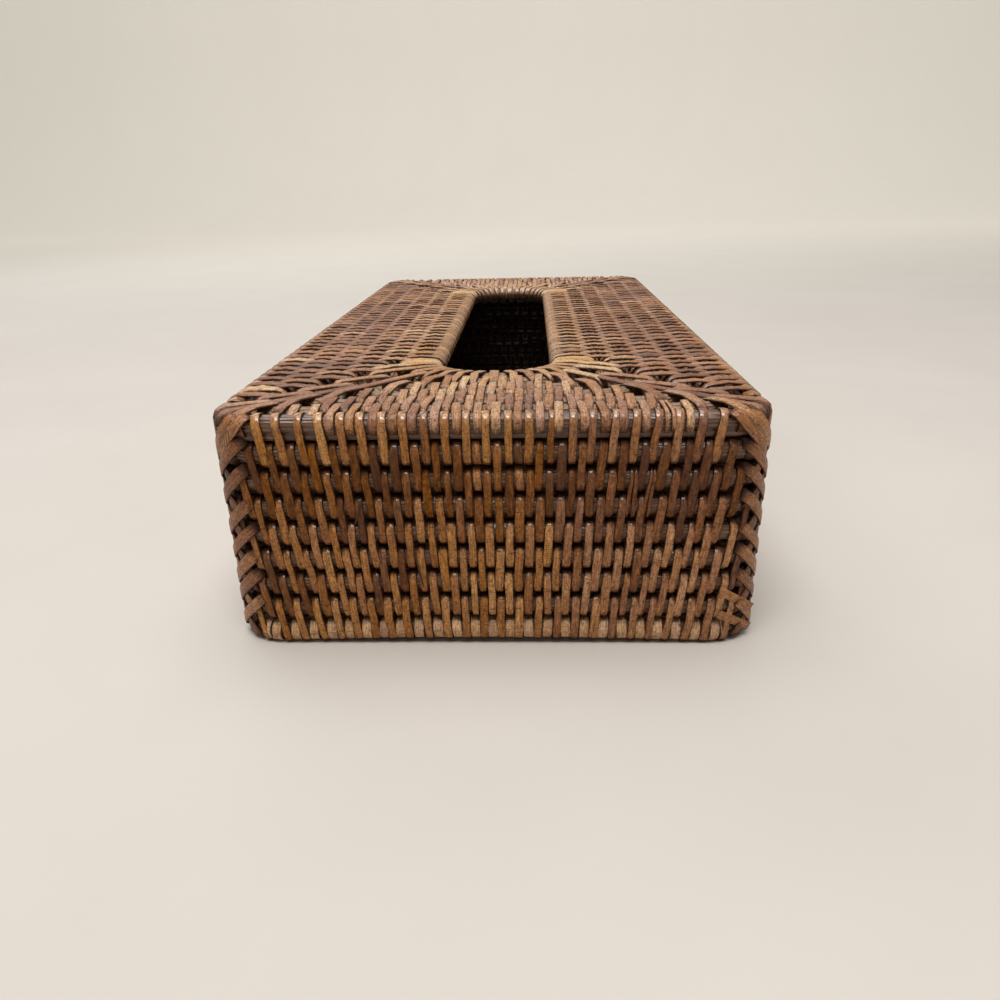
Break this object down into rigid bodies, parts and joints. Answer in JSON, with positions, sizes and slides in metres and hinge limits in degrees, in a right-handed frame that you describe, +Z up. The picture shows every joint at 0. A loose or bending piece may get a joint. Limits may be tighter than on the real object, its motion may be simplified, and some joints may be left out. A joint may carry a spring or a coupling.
{
  "type": "tissue box cover",
  "caption": "Hand-woven rattan cover that slips over a flat box of tissues, open underneath, with a long slot in its top.",
  "frame": {"origin": "centre of the footprint, at the bottom edge", "axes": "+Z up, out through the slotted top; X across the width; Y along the length, with the end that faces the camera in the picture at -Y"},
  "size_m": [0.145, 0.29, 0.0663],
  "materials": {
    "rod_reed": "dark stained reed",
    "wall_cane": "varnished cane",
    "top_cane": "worn cane",
    "pale_cane": "pale cane"
  },
  "bodies": {
    "root": {"opening_rim_rod": "rod_reed", "top_rod_1": "rod_reed", "top_rod_2": "rod_reed", "top_rod_3": "rod_reed", "top_rod_4": "rod_reed", "top_rod_5": "rod_reed", "shoulder_rod": "rod_reed", "wall_rod_1": "rod_reed", "wall_rod_2": "rod_reed", "wall_rod_3": "rod_reed", "wall_rod_4": "rod_reed", "wall_rod_5": "rod_reed", "wall_rod_6": "rod_reed", "wall_rod_7": "rod_reed", "base_rod": "rod_reed", "opening_rim_lashing": "pale_cane", "opening_rim_wraps": "pale_cane", "top_lashing_1": "top_cane", "top_lashing_2": "top_cane", "top_lashing_3": "top_cane", "top_lashing_4": "top_cane", "top_lashing_5": "top_cane", "wall_lashing_1": "wall_cane", "wall_lashing_2": "wall_cane", "wall_lashing_3": "wall_cane", "wall_lashing_4": "wall_cane", "wall_lashing_5": "wall_cane", "wall_lashing_6": "wall_cane", "wall_lashing_7": "wall_cane", "wall_lashing_8": "wall_cane", "base_wraps": "pale_cane", "foot_wraps": "pale_cane", "corner_lashing_front_left": "wall_cane", "corner_lashing_front_right": "wall_cane", "corner_lashing_back_left": "wall_cane", "corner_lashing_back_right": "wall_cane"}
  },
  "joints": []
}
